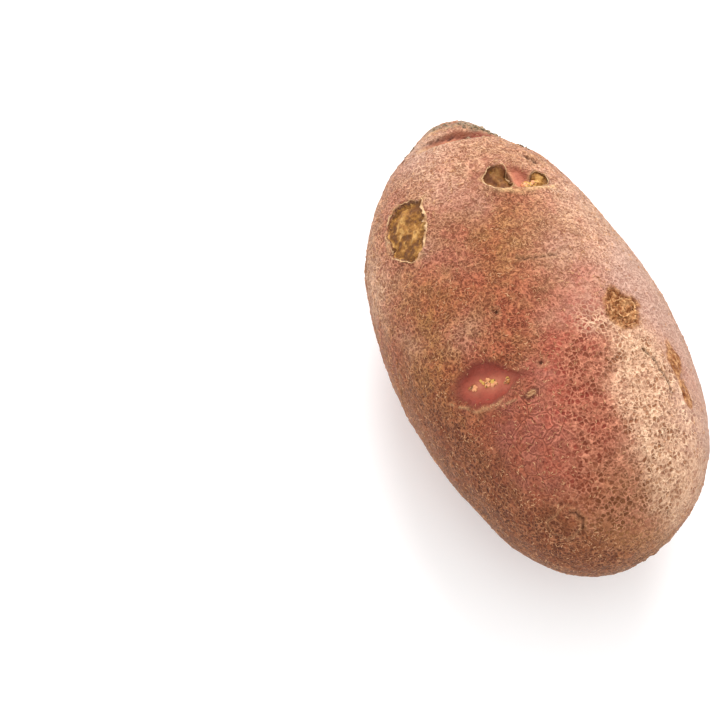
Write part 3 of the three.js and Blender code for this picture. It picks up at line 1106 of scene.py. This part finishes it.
# Each blade: its scab, the angles it runs between, its height, and how far it leans out.
tornBlades = [
    ("ochreScab", -75, 40, 0.8, -0.5), ("ochreScab", 48, 130, 0.4, 0.4),
    ("ochreScab", 150, 228, 0.4, -0.4), ("ochreScab", 224, 262, 0.9, 0.7),
    ("upperEyeScab", -80, 75, 0.8, 0.5), ("upperEyeScab", 100, 262, 0.5, -0.3),
    ("upperEyeCup", -120, 150, 0.4, 0.3),
    ("backScab", -40, 100, 0.7, -0.4), ("backScab", 140, 250, 0.5, 0.3),
]
# Curled flakes in rings on the corky patch: the share of its size they stand at, angles, height and lean.
corkFlakes = [
    (0.18, -40, 170, 0.42, 0.6), (0.34, 30, 130, 0.40, 0.5), (0.32, 200, 320, 0.38, 0.5),
    (0.50, 90, 215, 0.36, 0.7), (0.52, -60, 20, 0.34, 0.6), (0.68, 150, 200, 0.28, 0.6),
    (0.66, 240, 300, 0.26, 0.6),
]


def corkFlakeBodies():
    cork = corks["corkyEye"]
    for share, *arc in corkFlakes:
        seed = 24 + int(20 * share)
        yield tornBlade(dict(cork, wide=cork["wide"] * share, tall=cork["tall"] * share, seed=seed), *arc)


blades = [tornBlade(scabs[name], *arc) for name, *arc in tornBlades]
tornSkin = meshObject("torn_skin", *joined(blades), twoToneCoat("dry torn skin", tornCoat))
flakeCoat = twoToneCoat("brown cork flakes", dict(tornCoat, dull=(168, 106, 56), bright=(228, 178, 124)))
corkFlakePiece = meshObject("cork_flakes", *joined(corkFlakeBodies()), flakeCoat)
print("torn skin and cork flakes made")


# Buds in the eyes.

# Each cluster: the eye it sits in, sideways and lengthways millimetres there, how many buds, their radius,
# how far they spread, and how far they stand off the skin.
budClusters = [
    ("pinkEye", (-3.6, 0.0), 8, 0.42, 0.9, 0.0),
    ("pinkEye", (-0.6, 0.1), 26, 0.42, 1.45, 0.0),
    ("pinkEye", (3.6, 0.0), 8, 0.38, 0.9, 0.0),
    ("upperEye", (2.7, -0.3), 14, 0.62, 1.1, 0.3),
    ("upperEye", (4.8, 0.8), 8, 0.5, 0.9, 0.3),
    ("crownEye", (-2.0, -0.4), 4, 0.34, 0.9, 0.0),
    ("sideEye", (0, -0.4), 8, 0.36, 1.2, 0.0),
    ("backEyeC", (0.5, -0.4), 7, 0.36, 1.2, 0.0),
    ("backEyeD", (-0.4, -0.4), 8, 0.36, 1.2, 0.0),
    ("backEyeA", (0, -0.4), 5, 0.34, 1.0, 0.0),
]


budLook = {
    "base": tint(158, 92, 34),
    "yellow": tint(206, 162, 74),
    "orange": tint(226, 158, 110),
    "bump": (0.5, 0.0001),
    "gloss": 0.45,
}


def budMaterial():
    material, tree, where = newCoat("yellow bud")
    tone = noiseOf(tree, where, 900.0, 3.0).outputs["Fac"]
    shade = noiseOf(tree, where, 600.0, 1.0).outputs["Fac"]
    specks = between(tree, noiseOf(tree, where, 1500.0, 2.0).outputs["Fac"], 0.54, 0.62, 0.0, 0.9)
    bright = over(tree, between(tree, shade, 0.45, 0.55), budLook["yellow"], budLook["orange"])
    colour = over(tree, between(tree, tone, 0.32, 0.52), budLook["base"], bright)
    colour = over(tree, specks, colour, skinLook["crustDark"])
    finishCoat(tree, colour, unevenly(tree, 0.32, tone, 0.3), tone, budLook["bump"], budLook["gloss"])
    return material


def unitBall(levels):
    shape = bmesh.new()
    bmesh.ops.create_icosphere(shape, subdivisions=levels, radius=1.0)
    points = np.array([vert.co for vert in shape.verts])
    faces = [[vert.index for vert in face.verts] for face in shape.faces]
    shape.free()
    return points, faces


ball, ballFaces = unitBall(3)


# A bumpy ball laid on the skin, with its sides turned by spin.
def bumpyBall(place, spot, size, spin, bumps):
    side = place["round"] * math.cos(spin) + place["crownward"] * math.sin(spin)
    axes = np.array([side, np.cross(place["outward"], side), place["outward"]])
    return spot + (ball * (1 + bumps)[:, None] * size) @ axes, ballFaces


def budBodies():
    chance = np.random.default_rng(5)
    for eye, (aside, along), count, size, spread, lift in budClusters:
        place = eyes[eye]["place"]
        for _ in range(count):
            sideways = aside + chance.normal(0, 0.55 * spread)
            lengthways = along + chance.normal(0, 0.30 * spread)
            spot = onSkin(place, sideways, lengthways)[0] + lift * place["outward"]
            radius = size * chance.uniform(0.7, 1.2)
            sides = [chance.uniform(*limits) * radius for limits in ((0.8, 1.3), (0.65, 1.0), (0.6, 0.9))]
            spin = chance.uniform(0, math.pi)
            yield bumpyBall(place, spot, np.array(sides), spin, 0.16 * lumps(ball + spot, 0.7, 7, 2))


eyeBuds = meshObject("eye_buds", *joined(budBodies()), budMaterial())
print("eye buds made")


# Dry corky crumbs left where the crown's first leaves broke away: where, how many, how far they spread, size.
crumbPatches = [
    ((44.8, 27), 14, 1.5, 0.52),
    ((46.2, 12), 6, 1.2, 0.36),
    ((42.4, 42), 8, 1.4, 0.42),
    ((49.2, -8), 7, 2.0, 0.42),
    ((38.5, 58), 6, 2.2, 0.36),
    ((46.0, -62), 6, 2.0, 0.36),
    ((49.0, 120), 9, 2.2, 0.45),
]


crumbCoat = {
    "dull": (84, 68, 52), "bright": (158, 136, 110), "scale": 1100.0, "detail": 4.0, "grit": 0.6,
    "mix": (0.36, 0.62), "bump": (0.7, 0.00015), "rough": (0.65, 0.3), "gloss": 0.2,
}


def crumbBodies():
    chance = np.random.default_rng(11)
    for at, count, spread, size in crumbPatches:
        place = placeOn(*at)
        for _ in range(count):
            spot = onSkin(place, chance.normal(0, spread), chance.normal(0, 0.6 * spread))[0]
            sides = [chance.uniform(*limits) * size for limits in ((0.8, 1.6), (0.5, 0.9), (0.5, 1.0))]
            spin = chance.uniform(0, math.pi)
            yield bumpyBall(place, spot, np.array(sides), spin, 0.34 * lumps(ball * 1.1 + spot, 0.8, 17, 3))


corkCoat = twoToneCoat("grey-brown cork", crumbCoat)
crownCrumbs = meshObject("crown_crumbs", *joined(crumbBodies()), corkCoat)
print("crown crumbs made")


# Curled shreds of dry skin.

shreds = {
    "Per Square Metre": 1000000.0,
    "Length": 0.00050,
    "Thickness": 0.000105,
    "Seed": 4,
}


shredCoat = {
    "dull": (164, 106, 70), "bright": (212, 160, 118), "scale": 500.0, "detail": 3.0, "grit": 0.5,
    "mix": (0.35, 0.65), "bump": (0.3, 0.00005), "rough": (0.5, 0.3), "gloss": 0.3,
}
shredShape = {"sweep": 1.9, "start": 0.6, "points": 4, "sides": 3, "inward": 0.0004, "tilt": 0.25,
              "smallest": 0.45, "largest": 1.25}


def shredTree(coat):
    tree = newGroup("skin shreds", shreds)
    given = put(tree, "NodeGroupInput").outputs
    shape = shredShape
    # where they grow: not on the smooth zones, the eyes' floors, the scabs or the resting spot
    smooth = most(tree, numberMark(tree, "eyeFloor"), numberMark(tree, "crust"),
                  times(tree, numberMark(tree, "palePink"), 0.85),
                  times(tree, numberMark(tree, "poreZone"), 0.6))
    rough = times(tree, rest(tree, smooth), numberMark(tree, "offSurface"))
    where = put(tree, "GeometryNodeInputPosition").outputs[0]
    patchy = between(tree, noiseOf(tree, where, 260.0, 2.0).outputs[0], 0.35, 0.6, 0.35, 1.0)
    density = times(tree, rough, patchy, given["Per Square Metre"])
    feeds = {"Mesh": given["Geometry"], "Density": density, "Seed": given["Seed"]}
    spread = put(tree, "GeometryNodeDistributePointsOnFaces", feeds, distribute_method="RANDOM")
    # one shred: a short arc, thin at its ends
    feeds = {"Resolution": shape["points"], "Radius": given["Length"], "Sweep Angle": shape["sweep"],
             "Start Angle": shape["start"]}
    arc = put(tree, "GeometryNodeCurveArc", feeds, mode="RADIUS").outputs[0]
    part = put(tree, "GeometryNodeSplineParameter").outputs["Factor"]
    taper = calc(tree, "SINE", times(tree, calc(tree, "ADD", times(tree, part, 0.9), 0.05), math.pi))
    thin = put(tree, "GeometryNodeSetCurveRadius", {"Curve": arc, "Radius": taper}).outputs[0]
    feeds = {"Resolution": shape["sides"], "Radius": given["Thickness"]}
    section = put(tree, "GeometryNodeCurvePrimitiveCircle", feeds, mode="RADIUS").outputs[0]
    feeds = {"Curve": thin, "Profile Curve": section, "Scale": taper, "Fill Caps": True}
    shred = put(tree, "GeometryNodeCurveToMesh", feeds).outputs[0]
    feeds = {"Geometry": shred, "Translation": (0.0, -shape["inward"], 0.0)}
    centred = put(tree, "GeometryNodeTransform", feeds).outputs[0]
    # each one turned and sized by chance
    seed, tilt = given["Seed"], shape["tilt"]
    feeds = {"Min": (-tilt, -tilt, 0.0), "Max": (tilt, tilt, 6.283), "Seed": seed}
    spin = put(tree, "FunctionNodeRandomValue", feeds, data_type="FLOAT_VECTOR").outputs[0]
    feeds = {0: spread.outputs["Rotation"], 1: spin}
    turned = put(tree, "FunctionNodeRotateRotation", feeds, rotation_space="LOCAL").outputs[0]
    feeds = {2: shape["smallest"], 3: shape["largest"], "Seed": seed}
    size = put(tree, "FunctionNodeRandomValue", feeds, data_type="FLOAT").outputs[1]
    feeds = {"Points": spread.outputs["Points"], "Instance": centred, "Rotation": turned, "Scale": size}
    placed = put(tree, "GeometryNodeInstanceOnPoints", feeds)
    whole = put(tree, "GeometryNodeRealizeInstances", {0: placed.outputs[0]})
    coated = put(tree, "GeometryNodeSetMaterial", {"Geometry": whole.outputs[0], "Material": coat})
    put(tree, "NodeGroupOutput", {0: coated.outputs[0]})
    return tree


def makeShreds():
    piece = bpy.data.objects.new("skin_shreds", potatoSkin.data.copy())
    bpy.context.scene.collection.objects.link(piece)
    useGroup(piece, shredTree(twoToneCoat("pale skin shreds", shredCoat)), shreds)
    settle(piece)
    piece.data.polygons.foreach_set("use_smooth", [True] * len(piece.data.polygons))
    print("skin shreds:", len(piece.data.polygons), "faces")
    return piece


skinShreds = makeShreds()


# Floor, light and camera.

studio = {
    "floorColour": (0.97, 0.97, 0.97, 1.0),
    "floorGlow": 0.07,
    "floorSize": 8.0,
    "floorGap": 0.02,  # millimetres below the resting spot
    "floorRoughness": 0.8,
    "floorGloss": 0.2,
    "skyColour": (1.0, 1.0, 1.0, 1.0),
    "skyStrength": 1.16,
    "key": {"azimuth": -25.0, "elevation": 38.0, "distance": 1.2, "size": 0.8, "power": 12.0},
}

camera = {
    "azimuth": -20.4,
    "elevation": 70.0,
    "lens": 120.0,
    "sensor": 36.0,
    "clip": (0.01, 50),
    "distance": 527.7,
    "aside": (35.5, -5.0),  # how far the tuber's origin sits right of and above the picture's middle
}


def addFloor():
    half = studio["floorSize"] / 2 * 1000
    level = -studio["floorGap"]
    corners = [(-half, -half, level), (half, -half, level), (half, half, level), (-half, half, level)]
    floor = meshObject("floor", corners, [(0, 1, 2, 3)])
    material = bpy.data.materials.new("pale floor")
    material.use_nodes = True
    sockets = material.node_tree.nodes["Principled BSDF"].inputs
    sockets["Base Color"].default_value = studio["floorColour"]
    sockets["Roughness"].default_value = studio["floorRoughness"]
    sockets["Specular IOR Level"].default_value = studio["floorGloss"]
    sockets["Emission Color"].default_value = studio["floorColour"]
    sockets["Emission Strength"].default_value = studio["floorGlow"]
    floor.data.materials.append(material)


def viewAxes():
    azimuth, elevation = math.radians(camera["azimuth"]), math.radians(camera["elevation"])
    level = math.cos(elevation)
    back = Vector((math.sin(azimuth) * level, -math.cos(azimuth) * level, math.sin(elevation)))
    right = Vector((math.cos(azimuth), math.sin(azimuth), 0))
    return right, back.cross(right), back


def addCamera():
    right, up, back = viewAxes()
    data = bpy.data.cameras.new("camera")
    data.lens = camera["lens"]
    data.sensor_width = camera["sensor"]
    data.clip_start, data.clip_end = camera["clip"]
    eye = bpy.data.objects.new("camera", data)
    place = (back * camera["distance"] - right * camera["aside"][0] - up * camera["aside"][1]) / 1000
    eye.matrix_world = Matrix.Translation(place) @ Matrix((right, up, back)).transposed().to_4x4()
    bpy.context.scene.collection.objects.link(eye)
    bpy.context.scene.camera = eye


def addLight(name, spec):
    azimuth, elevation = math.radians(spec["azimuth"]), math.radians(spec["elevation"])
    level = math.cos(elevation)
    direction = Vector((-math.sin(azimuth) * level, math.cos(azimuth) * level, math.sin(elevation)))
    data = bpy.data.lights.new(name, "AREA")
    data.shape = "DISK"
    data.size = spec["size"]
    data.energy = spec["power"]
    light = bpy.data.objects.new(name, data)
    light.location = direction * spec["distance"]
    light.rotation_euler = direction.to_track_quat("Z", "Y").to_euler()
    bpy.context.scene.collection.objects.link(light)


def addSky():
    world = bpy.data.worlds.new("soft white room")
    world.use_nodes = True
    sky = world.node_tree.nodes["Background"]
    sky.inputs["Color"].default_value = studio["skyColour"]
    sky.inputs["Strength"].default_value = studio["skyStrength"]
    bpy.context.scene.world = world


addFloor()
addCamera()
addLight("key light", studio["key"])
addSky()
bpy.context.scene.view_settings.view_transform = "Standard"
print("floor, lights and camera ready")


# Every piece is attached to the root body, and the imported solid is hidden.

for piece in (potatoSkin, scabCrusts, tornSkin, corkFlakePiece, eyeBuds, crownCrumbs, skinShreds):
    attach(piece, "root")
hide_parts("potato")
